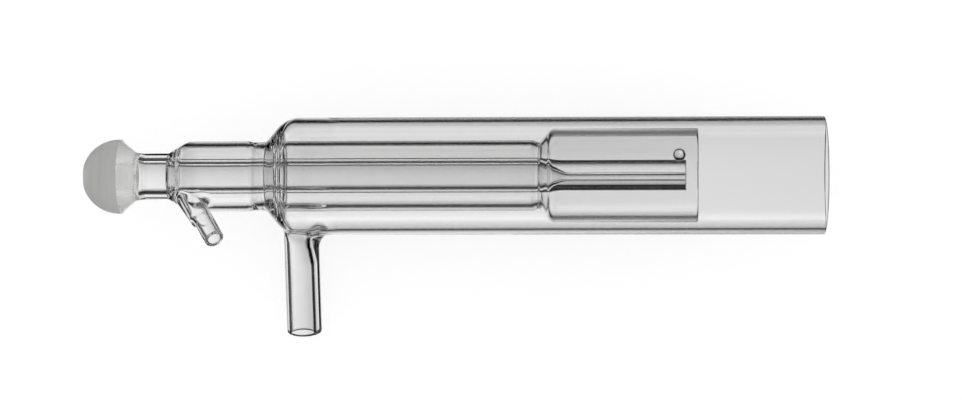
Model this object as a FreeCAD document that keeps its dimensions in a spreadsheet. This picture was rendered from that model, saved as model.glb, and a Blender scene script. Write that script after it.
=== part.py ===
import FreeCAD, Part
import Sketcher
import math
import os

# A one-piece fused-quartz torch: three tubes on one axis, joined by ring seals, with two gas arms
# and a ground ball at the inlet. All lengths are in millimetres and all angles in degrees.
#
# The sections are drawn in the frame of the torch: x runs along the axis with 0 at the outlet and
# the body at negative x, and the plasma arm points along -Y. At the end the body is turned about
# its axis, so that it lies on its outer tube and on the tip of that arm.

SIZES = [
    ("outer_diameter", 20.0, "outer tube, outside"),
    ("outer_wall", 0.85, "outer tube, wall"),
    ("outer_length", 91.3, "outlet to the corner of the shoulder"),
    ("outlet_edge", 0.25, "polished rim of the outlet"),
    ("shoulder_slope", 50.0, "straight part of the shoulder, from the axis"),
    ("shoulder_round", 5.0, "outside bend of the shoulder"),
    ("shoulder_hollow_round", 2.8, "inside bend of the shoulder"),
    ("seal_thickness", 2.4, "glass of the ring seal, along the axis"),
    ("seal_fillet", 0.8, "glass drawn up where the shoulder meets the middle tube"),
    ("middle_diameter", 12.0, "middle tube, outside"),
    ("middle_wall", 0.85, "middle tube, wall"),
    ("rear_length", 13.6, "shoulder to the corner of the rear closure"),
    ("closure_slope", 31.0, "rear closure, from the axis"),
    ("closure_round", 4.0, "outside bend of the closure"),
    ("closure_hollow_round", 1.4, "inside bend of the closure"),
    ("closure_thickness", 1.8, "glass of the rear closure, along the axis"),
    ("seal_bulge", 0.4, "glass sunk into the middle tube at the ring seal"),
    ("seal_bulge_lead", 0.3, "shoulder to the flat of that bulge"),
    ("seal_dip", 0.18, "waist of the middle tube behind the ring seal"),
    ("seal_dip_lead", 0.8, "shoulder to the waist"),
    ("seal_flat", 1.3, "flat of the bulge and of the waist"),
    ("seal_ramp", 1.1, "run-out of the bulge and of the waist"),
    ("weld_pinch", 0.4, "groove round the weld of the flare"),
    ("weld_pinch_ramp", 0.95, "weld to the full width of the middle tube"),
    ("weld_bulge", 0.25, "glass sunk inwards at the weld"),
    ("weld_bulge_lead", 0.6, "flat of that glass, from the weld forward"),
    ("weld_bulge_trail", 0.55, "flat of that glass, from the weld back"),
    ("weld_ramp", 0.6, "run-out of that glass"),
    ("flare_slope", 59.0, "flare between the weld and the wide end"),
    ("flare_round", 1.5, "bend at the large end of the flare"),
    ("flare_hollow_round", 1.0, "inside bend at the large end of the flare"),
    ("wide_diameter", 16.0, "wide end of the middle tube, outside"),
    ("wide_wall", 1.0, "wide end, wall"),
    ("wide_recess", 21.6, "outlet to the wide end"),
    ("wide_length", 24.0, "wide end, up to the corner of the flare"),
    ("wide_rim_edge", 0.3, "polished rim of the wide end"),
    ("stem_diameter", 8.0, "stem behind the ball, outside"),
    ("stem_bore", 5.0, "stem, inside"),
    ("stem_length", 5.3, "closure to the neck of the ball"),
    ("ball_diameter", 12.7, "ball of the ground joint"),
    ("ball_bore", 5.0, "mouth of the ball"),
    ("ball_throat", 4.4, "narrowest bore of the ball"),
    ("throat_station", 0.4, "centre of the ball to the throat, towards the stem"),
    ("throat_taper", 2.0, "taper from the mouth to the throat"),
    ("ball_neck", 3.3, "centre of the ball to the neck"),
    ("ball_land", 0.45, "ground band past the widest circle"),
    ("ball_edge", 0.45, "bevel behind the ground band, along the axis"),
    ("ball_back_diameter", 11.5, "back of the ball, inside the bevel"),
    ("neck_swell", 0.15, "glass gathered round the neck"),
    ("neck_lead", 0.4, "neck to the thickest gathered glass"),
    ("neck_trail", 0.5, "neck to the plain stem"),
    ("neck_bulge", 0.25, "hollow ring blown in the neck"),
    ("neck_ramp", 1.2, "run-out of the ring, each way"),
    ("injector_diameter", 6.0, "injector tube, outside"),
    ("injector_bore", 4.0, "injector tube, inside"),
    ("injector_seal_run", 2.4, "step from the stem's bore to the injector's"),
    ("funnel_start", 47.2, "outlet to the wide end of the funnel"),
    ("funnel_length", 4.0, "funnel of the injector's bore"),
    ("funnel_round", 4.0, "bends of the funnel"),
    ("funnel_lead", 0.6, "start of the funnel to the start of the draw-down"),
    ("capillary_diameter", 5.25, "capillary, outside"),
    ("capillary_bore", 1.0, "capillary, inside"),
    ("capillary_recess", 23.6, "outlet to the tip of the capillary"),
    ("capillary_step", 2.4, "draw-down from the injector tube"),
    ("tip_edge", 0.2, "polished edge of the tip"),
    ("bead_diameter", 2.1, "bead beside the tip"),
    ("bead_station", 24.65, "outlet to the middle of the bead"),
    ("bead_sink", 0.12, "depth of the bead in the capillary"),
    ("plasma_arm_diameter", 6.0, "plasma gas arm, outside"),
    ("plasma_arm_bore", 3.75, "plasma gas arm, inside"),
    ("plasma_bore_offset", 0.2, "middle of the bore behind the middle of the arm"),
    ("plasma_arm_setback", 2.1, "corner of the shoulder to the axis of the arm"),
    ("plasma_arm_length", 17.85, "outside of the outer tube to the tip of the arm"),
    ("plasma_root_diameter", 10.4, "foot of the arm, half way into the torch"),
    ("plasma_root_length", 2.6, "outside of the outer tube to the end of the foot"),
    ("plasma_root_bore", 3.4, "waist of the arm's bore at the foot"),
    ("plasma_root_mouth", 5.4, "mouth of the arm's bore inside the torch"),
    ("plasma_mouth_round", 1.0, "bend of that mouth"),
    ("plasma_waist_lead", 1.2, "start of the waist to the end of the foot"),
    ("plasma_waist_trail", 0.6, "end of the foot to the end of the waist"),
    ("plasma_waist_ramp", 1.4, "run-out of the waist"),
    ("plasma_root_fillet", 2.2, "glass drawn up round the foot"),
    ("plasma_foot_round", 6.0, "bend between the foot and the arm"),
    ("plasma_rim_round", 0.4, "fire-polished rim of the plasma arm"),
    ("arms_angle", 60.0, "angle between the two arms, about the axis"),
    ("aux_arm_diameter", 3.3, "auxiliary gas arm, outside"),
    ("aux_arm_bore", 2.0, "auxiliary gas arm, inside"),
    ("aux_arm_setback", 1.6, "corner of the closure to where the arm's line meets the torch axis"),
    ("aux_arm_slope", 63.0, "auxiliary arm, from the torch axis"),
    ("aux_arm_length", 10.8, "outside of the middle tube to the tip, measured along the arm"),
    ("aux_root_diameter", 5.6, "foot of the arm, inside the torch"),
    ("aux_root_length", 5.5, "outside of the middle tube to the end of the foot, along the arm"),
    ("aux_root_end_diameter", 4.0, "end of the foot"),
    ("aux_root_step", 0.6, "end of the foot to the plain arm"),
    ("aux_root_mouth", 2.6, "mouth of the arm's bore inside the torch"),
    ("aux_mouth_depth", 0.9, "mouth past the outside of the middle tube"),
    ("aux_bore_taper", 3.6, "taper from the mouth to the bore"),
    ("aux_root_fillet", 0.8, "glass drawn up round the foot"),
    ("aux_rim_round", 0.3, "fire-polished rim of the auxiliary arm"),
]

document = FreeCAD.newDocument("torch")
sheet = document.addObject("Spreadsheet::Sheet", "Sizes")
for row, (alias, number, meaning) in enumerate(SIZES, start=1):
    sheet.set("A%d" % row, meaning)
    sheet.set("B%d" % row, str(number))
    sheet.setAlias("B%d" % row, alias)
document.recompute()


def value(text):
    """The number that an expression on the sheet gives."""
    found = sheet.evalExpression(text)
    return float(getattr(found, "Value", found))


def role(body, name):
    """A plane of the body's own origin."""
    return [item for item in body.Origin.OriginFeatures if item.Role == name][0]


def corner(x, radius, bend=None, held="xr"):
    """One corner of a section in sheet expressions, with the radius that it is bent to.

    held names what the sheet fixes here: the place along the axis, the radius, or both.
    """
    return {"x": x, "radius": radius, "bend": bend, "held": held}


def hold(sketch, kind, point, text):
    """Ties a point's distance from the sketch's origin to an expression on the sheet."""
    rule = sketch.addConstraint(Sketcher.Constraint(kind, -1, 1, *point, value(text)))
    sketch.setExpression("Constraints[%d]" % rule, text)


def hold_radius(sketch, side, text):
    """Ties the radius of an arc to an expression on the sheet."""
    rule = sketch.addConstraint(Sketcher.Constraint("Radius", side, value(text)))
    sketch.setExpression("Constraints[%d]" % rule, text)


def hold_corner(sketch, point, place, spot):
    """Fixes one corner of a section."""
    if "x" in place["held"]:
        hold(sketch, "DistanceX", point, place["x"])
    if "r" in place["held"] and spot.y == 0:
        sketch.addConstraint(Sketcher.Constraint("PointOnObject", *point, -1))
    elif "r" in place["held"]:
        hold(sketch, "DistanceY", point, place["radius"])


def bend_between(previous, spot, following, radius):
    """The arc that rounds a corner, with its ends in the order of the outline."""
    back = (previous - spot).normalize()
    ahead = (following - spot).normalize()
    half = back.getAngle(ahead) / 2
    middle = spot + (back + ahead).normalize() * (radius / math.sin(half))
    ends = [spot + way * (radius / math.tan(half)) for way in (back, ahead)]
    forward = back.cross(ahead).z < 0
    angles = [math.atan2(end.y - middle.y, end.x - middle.x) for end in ends]
    circle = Part.Circle(middle, FreeCAD.Vector(0, 0, 1), radius)
    arc = Part.ArcOfCircle(circle, *(angles if forward else angles[::-1]))
    return arc, ends, ((1, 2) if forward else (2, 1))


def section(body, name, corners, offset=None, ball=None):
    """A closed outline, x along the axis and y the radius, with every corner held by the sheet.

    ball gives the centre and the radius of the circle that the first side follows.
    """
    sketch = body.newObject("Sketcher::SketchObject", name)
    sketch.AttachmentSupport = [(role(body, "XY_Plane"), "")]
    sketch.MapMode = "FlatFace"
    if offset:
        sketch.setExpression("AttachmentOffset", offset)
    spots = [FreeCAD.Vector(value(place["x"]), value(place["radius"]), 0) for place in corners]
    count = len(corners)

    bends = {}
    for number, place in enumerate(corners):
        if place["bend"]:
            following = spots[(number + 1) % count]
            bends[number] = bend_between(spots[number - 1], spots[number], following, value(place["bend"]))

    sides = []
    for number in range(count):
        after = (number + 1) % count
        begin = bends[number][1][1] if number in bends else spots[number]
        end = bends[after][1][0] if after in bends else spots[after]
        if number == 0 and ball:
            middle = FreeCAD.Vector(value(ball[0]), 0, 0)
            circle = Part.Circle(middle, FreeCAD.Vector(0, 0, 1), value(ball[1]))
            angles = [math.atan2(point.y, point.x - middle.x) for point in (end, begin)]
            side = sketch.addGeometry(Part.ArcOfCircle(circle, *angles))
            sketch.addConstraint(Sketcher.Constraint("PointOnObject", side, 3, -1))
            hold(sketch, "DistanceX", (side, 3), ball[0])
            hold_radius(sketch, side, ball[1])
            sides.append(((side, 2), (side, 1)))
        else:
            side = sketch.addGeometry(Part.LineSegment(begin, end))
            sides.append(((side, 1), (side, 2)))

    for number, place in enumerate(corners):
        arriving = sides[number - 1][1]
        leaving = sides[number][0]
        if number not in bends:
            sketch.addConstraint(Sketcher.Constraint("Coincident", *arriving, *leaving))
            hold_corner(sketch, leaving, place, spots[number])
            continue
        arc, _, ends = bends[number]
        curve = sketch.addGeometry(arc)
        sketch.addConstraint(Sketcher.Constraint("Tangent", *arriving, curve, ends[0]))
        sketch.addConstraint(Sketcher.Constraint("Tangent", curve, ends[1], *leaving))
        hold_radius(sketch, curve, place["bend"])
        point = sketch.addGeometry(Part.Point(spots[number]), True)
        sketch.addConstraint(Sketcher.Constraint("PointOnObject", point, 1, arriving[0]))
        sketch.addConstraint(Sketcher.Constraint("PointOnObject", point, 1, leaving[0]))
        hold_corner(sketch, (point, 1), place, spots[number])
    document.recompute()
    return sketch


def turn(body, kind, name, sketch):
    """Revolves a section about its own axis, as glass added or as a hollow cut."""
    before = body.Shape.Volume if body.Tip else 0.0
    feature = body.newObject("PartDesign::" + kind, name)
    feature.Profile = sketch
    feature.ReferenceAxis = (sketch, ["H_Axis"])
    feature.Angle = 360
    sketch.Visibility = False
    document.recompute()
    change = feature.Shape.Volume - before
    if (kind == "Groove") != (change < 0):
        raise RuntimeError("%s changed the volume the wrong way: %g" % (name, change))
    return feature


def rings(sketch, *places):
    """The tip's circular edges about a sketch's axis, at each (x, radius) in sheet expressions."""
    body = sketch.getParentGeoFeatureGroup()
    along = sketch.Placement.Rotation.multVec(FreeCAD.Vector(1, 0, 0))
    found = []
    for x, r in places:
        centre = sketch.Placement.multVec(FreeCAD.Vector(value(x), 0, 0))
        names = [
            "Edge%d" % number
            for number, edge in enumerate(body.Tip.Shape.Edges, start=1)
            if isinstance(edge.Curve, Part.Circle)
            and abs(edge.Curve.Radius - value(r)) < 1e-4
            and edge.Curve.Center.distanceToPoint(centre) < 1e-4
            and abs(abs(edge.Curve.Axis.dot(along)) - 1) < 1e-6
        ]
        if not names:
            raise RuntimeError("no circular edge at %s, %s" % (x, r))
        found += names
    return found


def seams(feature_before, sketch):
    """The tip's edges along which the form of this sketch meets what stood there before it."""
    body = sketch.getParentGeoFeatureGroup()
    old = feature_before.Shape
    form = body.Tip.AddSubShape
    found = []
    for number, edge in enumerate(body.Tip.Shape.Edges, start=1):
        middle = edge.valueAt((edge.FirstParameter + edge.LastParameter) / 2)
        vertex = Part.Vertex(middle)
        on_old = min(face.distToShape(vertex)[0] for face in old.Faces) < 1e-4
        on_form = min(face.distToShape(vertex)[0] for face in form.Faces) < 1e-4
        if on_old and on_form:
            found.append("Edge%d" % number)
    return found


def bend(body, name, radius, edges, kind="Fillet"):
    """Rounds or bevels these edges of the tip."""
    base = body.Tip
    feature = body.newObject("PartDesign::" + kind, name)
    feature.Base = (base, edges)
    feature.setExpression("Radius" if kind == "Fillet" else "Size", radius)
    document.recompute()
    if feature.Shape.isNull() or not feature.Shape.isValid():
        raise RuntimeError("%s could not be shaped" % name)
    return feature


# Stations and radii that several sections share, as expressions on the sheet.

OUTER = "Sizes.outer_diameter / 2"
OUTER_HOLLOW = "(Sizes.outer_diameter / 2 - Sizes.outer_wall)"
MIDDLE = "Sizes.middle_diameter / 2"
MIDDLE_HOLLOW = "(Sizes.middle_diameter / 2 - Sizes.middle_wall)"
WIDE = "Sizes.wide_diameter / 2"
WIDE_HOLLOW = "(Sizes.wide_diameter / 2 - Sizes.wide_wall)"
STEM = "Sizes.stem_diameter / 2"
PAST = "1"

SHOULDER = "(Sizes.outer_length + (%s - %s) / tan(Sizes.shoulder_slope))" % (OUTER, MIDDLE)
SEAL_FACE = "(%s - Sizes.seal_thickness)" % SHOULDER
CLOSURE = "(%s + Sizes.rear_length)" % SHOULDER
CLOSURE_END = "(%s + (%s - %s) / tan(Sizes.closure_slope))" % (CLOSURE, MIDDLE, STEM)
CLOSURE_FACE = "(%s - Sizes.closure_thickness)" % CLOSURE_END
NECK = "(%s + Sizes.stem_length)" % CLOSURE_END
BALL = "(%s + Sizes.ball_neck)" % NECK
FLARE = "(Sizes.wide_recess + Sizes.wide_length)"
WELD = "(%s + (%s - %s + Sizes.weld_pinch) / tan(Sizes.flare_slope))" % (FLARE, WIDE, MIDDLE)
PLASMA = "(Sizes.outer_length - Sizes.plasma_arm_setback)"
PLASMA_FOOT = "(%s + Sizes.plasma_root_length)" % OUTER
PLASMA_TIP = "(%s + Sizes.plasma_arm_length)" % OUTER
AUXILIARY = "(%s + Sizes.aux_arm_setback)" % CLOSURE
AUXILIARY_FOOT = "(%s + Sizes.aux_root_length)" % MIDDLE
AUXILIARY_TIP = "(%s + Sizes.aux_arm_length)" % MIDDLE


def outer_tube(body):
    """The outer tube and its shoulder, solid for now."""
    sketch = section(body, "outer_tube_section", [
        corner("0", "0"),
        corner("0", OUTER),
        corner("-Sizes.outer_length", OUTER, "Sizes.shoulder_round"),
        corner("-" + SHOULDER, MIDDLE),
        corner("-" + SHOULDER, "0"),
    ])
    turn(body, "Revolution", "outer_tube", sketch)


def plasma_arm(body):
    """The arm for the plasma gas, square to the axis, on a foot that widens into the shoulder."""
    offset = "placement(vector(-%s; 0; 0); rotation(vector(0; 0; 1); -90))" % PLASMA
    arm = "Sizes.plasma_arm_diameter / 2"
    start = OUTER + " / 2"
    sketch = section(body, "plasma_arm_section", [
        corner(start, "0"),
        corner(start, "Sizes.plasma_root_diameter / 2"),
        corner(PLASMA_FOOT, arm, "Sizes.plasma_foot_round"),
        corner(PLASMA_TIP, arm),
        corner(PLASMA_TIP, "0"),
    ], offset)
    before = body.Tip
    turn(body, "Revolution", "plasma_arm", sketch)
    bend(body, "plasma_arm_root", "Sizes.plasma_root_fillet", seams(before, sketch))
    return sketch


def outer_hollow(body, arm):
    """The space between the tubes, open at the outlet, and the bore of the plasma arm."""
    sketch = section(body, "outer_hollow_section", [
        corner(PAST, "0"),
        corner(PAST, OUTER_HOLLOW),
        corner("-" + SEAL_FACE, OUTER_HOLLOW, "Sizes.shoulder_hollow_round"),
        corner("-" + SEAL_FACE, "0"),
    ])
    turn(body, "Groove", "outer_hollow", sketch)
    bend(body, "outlet_rim", "Sizes.outlet_edge", rings(sketch, ("0", OUTER), ("0", OUTER_HOLLOW)), "Chamfer")

    offset = "placement(vector(-%s - Sizes.plasma_bore_offset; 0; 0); rotation(vector(0; 0; 1); -90))" % PLASMA
    bore = "Sizes.plasma_arm_bore / 2"
    waist = "Sizes.plasma_root_bore / 2"
    mouth = "Sizes.plasma_root_mouth / 2"
    start = OUTER_HOLLOW + " * 0.8"
    sketch = section(body, "plasma_bore_section", [
        corner(start, "0"),
        corner(start, mouth),
        corner(OUTER, mouth, "Sizes.plasma_mouth_round"),
        corner(PLASMA_FOOT + " - Sizes.plasma_waist_lead", waist),
        corner(PLASMA_FOOT + " + Sizes.plasma_waist_trail", waist),
        corner(PLASMA_FOOT + " + Sizes.plasma_waist_trail + Sizes.plasma_waist_ramp", bore),
        corner(PLASMA_TIP + " + " + PAST, bore),
        corner(PLASMA_TIP + " + " + PAST, "0"),
    ], offset)
    turn(body, "Groove", "plasma_bore", sketch)
    rim = rings(arm, (PLASMA_TIP, "Sizes.plasma_arm_diameter / 2")) + rings(sketch, (PLASMA_TIP, bore))
    bend(body, "plasma_arm_rim", "Sizes.plasma_rim_round", rim)


def middle_tube(body):
    """The middle tube, solid for now: closure at the rear, ring seal, and wide end in front."""
    waist = "%s - Sizes.seal_dip" % MIDDLE
    dip_near = "%s + Sizes.seal_dip_lead" % SHOULDER
    dip_far = "%s + Sizes.seal_flat" % dip_near
    sketch = section(body, "middle_tube_section", [
        corner("-Sizes.wide_recess", "0"),
        corner("-Sizes.wide_recess", WIDE),
        corner("-" + FLARE, WIDE, "Sizes.flare_round"),
        corner("-" + WELD, MIDDLE + " - Sizes.weld_pinch"),
        corner("-(%s + Sizes.weld_pinch_ramp)" % WELD, MIDDLE),
        corner("-" + SHOULDER, MIDDLE),
        corner("-(%s)" % dip_near, waist),
        corner("-(%s)" % dip_far, waist),
        corner("-(%s + Sizes.seal_ramp)" % dip_far, MIDDLE),
        corner("-" + CLOSURE, MIDDLE, "Sizes.closure_round"),
        corner("-" + CLOSURE_END, STEM),
        corner("-" + CLOSURE_END, "0"),
    ])
    turn(body, "Revolution", "middle_tube", sketch)
    bend(body, "ring_seal_outside", "Sizes.seal_fillet", rings(sketch, ("-" + SHOULDER, MIDDLE)))
    bend(body, "ring_seal_inside", "Sizes.seal_fillet * 0.6", rings(sketch, ("-" + SEAL_FACE, MIDDLE)))


def auxiliary_arm(body):
    """The thin arm for the auxiliary gas, leaning forward out of the rear of the middle tube."""
    offset = (
        "placement(vector(-%s; 0; 0);"
        " rotation(vector(1; 0; 0); -Sizes.arms_angle) * rotation(vector(0; 0; 1); -Sizes.aux_arm_slope))"
    ) % AUXILIARY
    arm = "Sizes.aux_arm_diameter / 2"
    start = MIDDLE_HOLLOW + " * 0.7"
    sketch = section(body, "auxiliary_arm_section", [
        corner(start, "0"),
        corner(start, "Sizes.aux_root_diameter / 2"),
        corner(AUXILIARY_FOOT, "Sizes.aux_root_end_diameter / 2"),
        corner(AUXILIARY_FOOT + " + Sizes.aux_root_step", arm),
        corner(AUXILIARY_TIP, arm),
        corner(AUXILIARY_TIP, "0"),
    ], offset)
    before = body.Tip
    turn(body, "Revolution", "auxiliary_arm", sketch)
    bend(body, "auxiliary_arm_root", "Sizes.aux_root_fillet", seams(before, sketch))
    return offset


def middle_hollow(body, arm_offset):
    """The inside of the middle tube, open in front, and the bore of the auxiliary arm."""
    bulge = "(%s - Sizes.seal_bulge)" % MIDDLE_HOLLOW
    weld = "(%s - Sizes.weld_bulge)" % MIDDLE_HOLLOW
    bulge_front = "(%s + Sizes.seal_bulge_lead)" % SHOULDER
    bulge_rear = "(%s + Sizes.seal_flat)" % bulge_front
    weld_front = "(%s - Sizes.weld_bulge_lead)" % WELD
    weld_rear = "(%s + Sizes.weld_bulge_trail)" % WELD
    flare_run = "(%s - %s) / tan(Sizes.flare_slope)" % (WIDE_HOLLOW, weld)
    sketch = section(body, "middle_hollow_section", [
        corner("-Sizes.wide_recess + " + PAST, "0"),
        corner("-Sizes.wide_recess + " + PAST, WIDE_HOLLOW),
        corner("-%s + %s" % (weld_front, flare_run), WIDE_HOLLOW, "Sizes.flare_hollow_round"),
        corner("-" + weld_front, weld),
        corner("-" + weld_rear, weld),
        corner("-(%s + Sizes.weld_ramp)" % weld_rear, MIDDLE_HOLLOW),
        corner("-(%s - Sizes.seal_ramp)" % bulge_front, MIDDLE_HOLLOW),
        corner("-" + bulge_front, bulge),
        corner("-" + bulge_rear, bulge),
        corner("-(%s + Sizes.seal_ramp)" % bulge_rear, MIDDLE_HOLLOW),
        corner("-" + CLOSURE_FACE, MIDDLE_HOLLOW, "Sizes.closure_hollow_round"),
        corner("-" + CLOSURE_FACE, "0"),
    ])
    turn(body, "Groove", "middle_hollow", sketch)
    bend(body, "wide_rim", "Sizes.wide_rim_edge", rings(
        sketch,
        ("-Sizes.wide_recess", WIDE),
        ("-Sizes.wide_recess", WIDE_HOLLOW),
    ), "Chamfer")

    bore = "Sizes.aux_arm_bore / 2"
    mouth = "Sizes.aux_root_mouth / 2"
    start = MIDDLE_HOLLOW + " * 0.85"
    sketch = section(body, "auxiliary_bore_section", [
        corner(start, "0"),
        corner(start, mouth),
        corner(MIDDLE + " + Sizes.aux_mouth_depth", mouth),
        corner(MIDDLE + " + Sizes.aux_mouth_depth + Sizes.aux_bore_taper", bore),
        corner(AUXILIARY_TIP + " + " + PAST, bore),
        corner(AUXILIARY_TIP + " + " + PAST, "0"),
    ], arm_offset)
    turn(body, "Groove", "auxiliary_bore", sketch)
    bend(body, "auxiliary_rim", "Sizes.aux_rim_round", rings(
        sketch,
        (AUXILIARY_TIP, "Sizes.aux_arm_diameter / 2"),
        (AUXILIARY_TIP, bore),
    ))


def injector(body):
    """The injector in one pull of glass: ball, stem, tube, funnel and capillary."""
    ball = "Sizes.ball_diameter / 2"
    mouth = "Sizes.ball_bore / 2"
    throat = "Sizes.ball_throat / 2"
    stem_bore = "Sizes.stem_bore / 2"
    tube = "Sizes.injector_diameter / 2"
    bore = "Sizes.injector_bore / 2"
    capillary = "Sizes.capillary_diameter / 2"
    capillary_bore = "Sizes.capillary_bore / 2"
    front = "-%s - sqrt(%s * %s - %s * %s)" % (BALL, ball, ball, mouth, mouth)
    land = "-%s + Sizes.ball_land" % BALL
    land_radius = "sqrt(%s * %s - Sizes.ball_land * Sizes.ball_land)" % (ball, ball)
    in_closure = "-%s + Sizes.closure_thickness * 0.3" % CLOSURE_END
    step = "-Sizes.funnel_start + Sizes.funnel_lead"
    throat_start = "-%s + Sizes.throat_station" % BALL
    sketch = section(body, "injector_section", [
        corner(front, mouth, held="r"),
        corner(land, land_radius, held="x"),
        corner(land + " + Sizes.ball_edge", "Sizes.ball_back_diameter / 2"),
        corner("-%s - Sizes.neck_lead" % NECK, STEM + " + Sizes.neck_swell", "Sizes.seal_fillet"),
        corner("-%s + Sizes.neck_trail" % NECK, STEM),
        corner(in_closure, STEM),
        corner(in_closure, tube),
        corner(step, tube),
        corner(step + " + Sizes.capillary_step", capillary),
        corner("-Sizes.capillary_recess - Sizes.tip_edge", capillary),
        corner("-Sizes.capillary_recess", capillary + " - Sizes.tip_edge"),
        corner("-Sizes.capillary_recess", capillary_bore),
        corner("-Sizes.funnel_start + Sizes.funnel_length", capillary_bore, "Sizes.funnel_round"),
        corner("-Sizes.funnel_start", bore, "Sizes.funnel_round"),
        corner("-%s + Sizes.injector_seal_run" % CLOSURE_END, bore),
        corner("-" + CLOSURE_END, stem_bore),
        corner("-%s + Sizes.neck_ramp" % NECK, stem_bore),
        corner("-%s" % NECK, stem_bore + " + Sizes.neck_bulge"),
        corner("-%s - Sizes.neck_ramp" % NECK, throat),
        corner(throat_start, throat),
        corner(throat_start + " - Sizes.throat_taper", mouth),
    ], ball=("-" + BALL, ball))
    turn(body, "Revolution", "injector", sketch)


def bead(body):
    """The small bead of glass on the capillary, opposite the plasma arm."""
    ball = body.newObject("PartDesign::AdditiveSphere", "bead")
    ball.setExpression("Radius", "Sizes.bead_diameter / 2")
    ball.AttachmentSupport = [(role(body, "XY_Plane"), "")]
    ball.MapMode = "FlatFace"
    ball.setExpression("AttachmentOffset.Base.x", "-Sizes.bead_station")
    ball.setExpression(
        "AttachmentOffset.Base.y",
        "Sizes.capillary_diameter / 2 + Sizes.bead_diameter / 2 - Sizes.bead_sink",
    )
    document.recompute()


def lay_down(body):
    """Turns the torch about its axis until the outer tube and the arm's tip touch one level surface."""
    body.Placement = FreeCAD.Placement(FreeCAD.Vector(), FreeCAD.Rotation(FreeCAD.Vector(1, 0, 0), 1))
    edge = "Sizes.plasma_rim_round"
    height = "(%s - %s)" % (OUTER, edge)
    reach = "(%s - %s)" % (PLASMA_TIP, edge)
    half = "(Sizes.plasma_arm_diameter / 2 - %s)" % edge
    body.setExpression("Placement.Rotation.Angle", "asin(%s / sqrt(%s * %s + %s * %s)) - atan(%s / %s)" % (
        height, reach, reach, half, half, half, reach))
    document.recompute()


def check(body):
    """Stops before anything is written if a feature failed or the solid isn't one whole piece."""
    for item in document.Objects:
        if "Invalid" in item.State or "Error" in item.State:
            raise RuntimeError("%s failed: %s" % (item.Label, item.State))
    if body.Shape.isNull() or not body.Shape.isValid() or len(body.Shape.Solids) != 1:
        raise RuntimeError("%s isn't one valid solid" % body.Label)


torch = document.addObject("PartDesign::Body", "torch")
torch.Label = "torch"
outer_tube(torch)
plasma_sketch = plasma_arm(torch)
outer_hollow(torch, plasma_sketch)
middle_tube(torch)
auxiliary_line = auxiliary_arm(torch)
middle_hollow(torch, auxiliary_line)
injector(torch)
bead(torch)
lay_down(torch)
check(torch)

os.makedirs("parts", exist_ok=True)
torch.Shape.exportStep("parts/torch.step")
box = torch.Shape.BoundBox
print("torch: %.1f mm3, %d faces" % (torch.Shape.Volume, len(torch.Shape.Faces)))
print("x %.2f to %.2f, y %.2f to %.2f, z %.2f to %.2f" % (
    box.XMin, box.XMax, box.YMin, box.YMax, box.ZMin, box.ZMax))
print("turned by %.3f degrees" % math.degrees(torch.Placement.Rotation.Angle))
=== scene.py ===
import math
from types import SimpleNamespace

import bmesh
import bpy
from bpy.props import FloatProperty, FloatVectorProperty, IntProperty, PointerProperty
from mathutils import Matrix, Vector


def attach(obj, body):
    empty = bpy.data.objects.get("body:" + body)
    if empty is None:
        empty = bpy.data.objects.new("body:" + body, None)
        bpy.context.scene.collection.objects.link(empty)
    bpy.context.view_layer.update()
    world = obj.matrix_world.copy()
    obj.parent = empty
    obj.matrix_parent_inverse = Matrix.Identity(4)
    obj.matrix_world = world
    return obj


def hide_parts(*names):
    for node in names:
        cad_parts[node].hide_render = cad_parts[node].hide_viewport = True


# An add-on that makes the looks of a fused-quartz torch and sets the stage that it lies on. The glass
# is one closed mesh: a turned section, two arms with drawn-up feet, their bores and a small bead.
# It stands in for the plain solid of the same shape, in the same place.

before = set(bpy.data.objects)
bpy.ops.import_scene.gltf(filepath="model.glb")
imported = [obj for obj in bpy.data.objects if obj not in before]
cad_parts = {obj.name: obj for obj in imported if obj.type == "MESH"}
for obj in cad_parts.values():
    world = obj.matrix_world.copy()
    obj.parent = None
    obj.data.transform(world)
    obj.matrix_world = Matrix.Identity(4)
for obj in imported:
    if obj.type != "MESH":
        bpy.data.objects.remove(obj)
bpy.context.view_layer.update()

bl_info = {
    "name": "Quartz Torch",
    "version": (1, 0, 0),
    "blender": (4, 5, 0),
    "location": "View3D > Sidebar > Torch",
    "description": "Makes a fused-quartz torch and the stage that it lies on",
    "category": "Object",
}

MM = 0.001
# Points closer than this are one point
SAME_POINT = 1e-4 * MM
# Length by which a boring solid passes the tip that it opens
PAST_TIP = 1.0 * MM


def size(name, text, millimetres):
    """A length on the panel, written here in millimetres."""
    return FloatProperty(name=name, description=text, default=millimetres * MM, unit="LENGTH", precision=5)


def slope(name, text, degrees):
    """An angle on the panel, written here in degrees."""
    return FloatProperty(name=name, description=text, default=math.radians(degrees), subtype="ANGLE")


def share(name, text, number):
    """A plain number on the panel."""
    return FloatProperty(name=name, description=text, default=number)


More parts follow.
